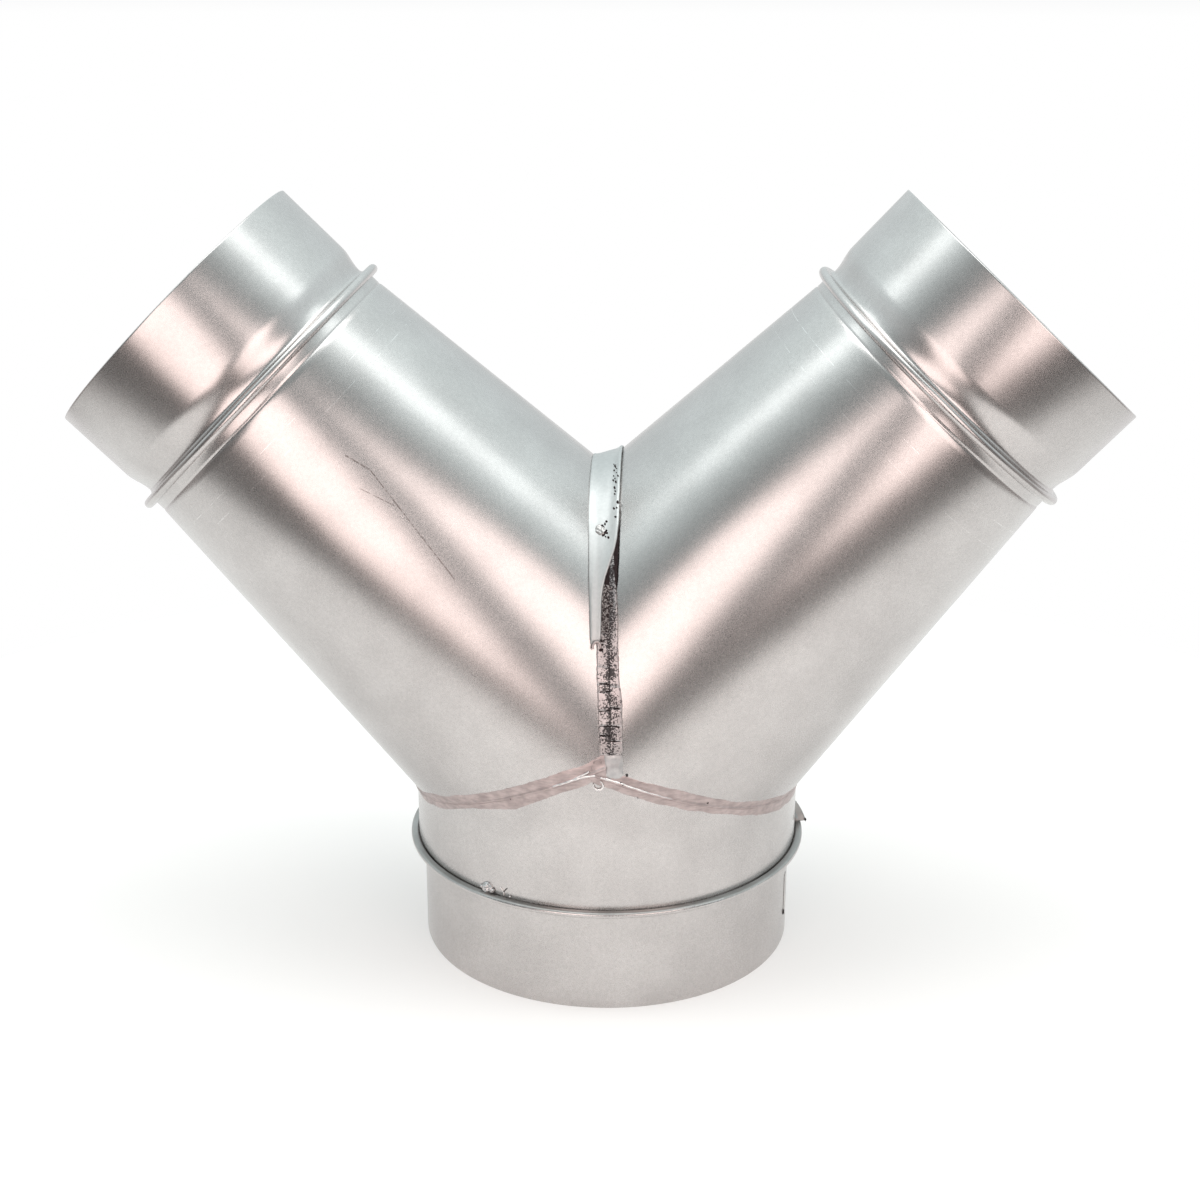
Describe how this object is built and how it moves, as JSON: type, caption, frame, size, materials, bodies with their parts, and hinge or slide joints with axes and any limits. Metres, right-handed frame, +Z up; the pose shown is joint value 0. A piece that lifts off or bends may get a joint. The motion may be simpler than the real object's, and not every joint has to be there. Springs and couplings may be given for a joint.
{
  "type": "dust extraction wye",
  "caption": "Y-shaped galvanised sheet-metal duct fitting: a round inlet spigot divides into tapering raised branches, each ending in a smaller round spigot.",
  "frame": {"origin": "centre of the bottom spigot's rim, on the plane it stands on", "axes": "+Z up along the inlet's axis; both branch axes lie in the XZ plane, the left branch leans to -X and the right one to +X"},
  "size_m": [0.3383, 0.1344, 0.2506],
  "materials": {
    "sheet": "satin galvanised steel with a fine mottled grain",
    "sealer": "smeared pinkish-grey joint sealer, dull",
    "solder": "dull grey solder"
  },
  "bodies": {
    "root": {"trunk_spigot": "sheet", "trunk": "sheet", "left_branch": "sheet", "right_branch": "sheet", "left_spigot": "sheet", "right_spigot": "sheet", "left_seam_sealer": "sealer", "right_seam_sealer": "sealer", "seam_solder": "solder", "ring_solder": "solder"}
  },
  "joints": []
}
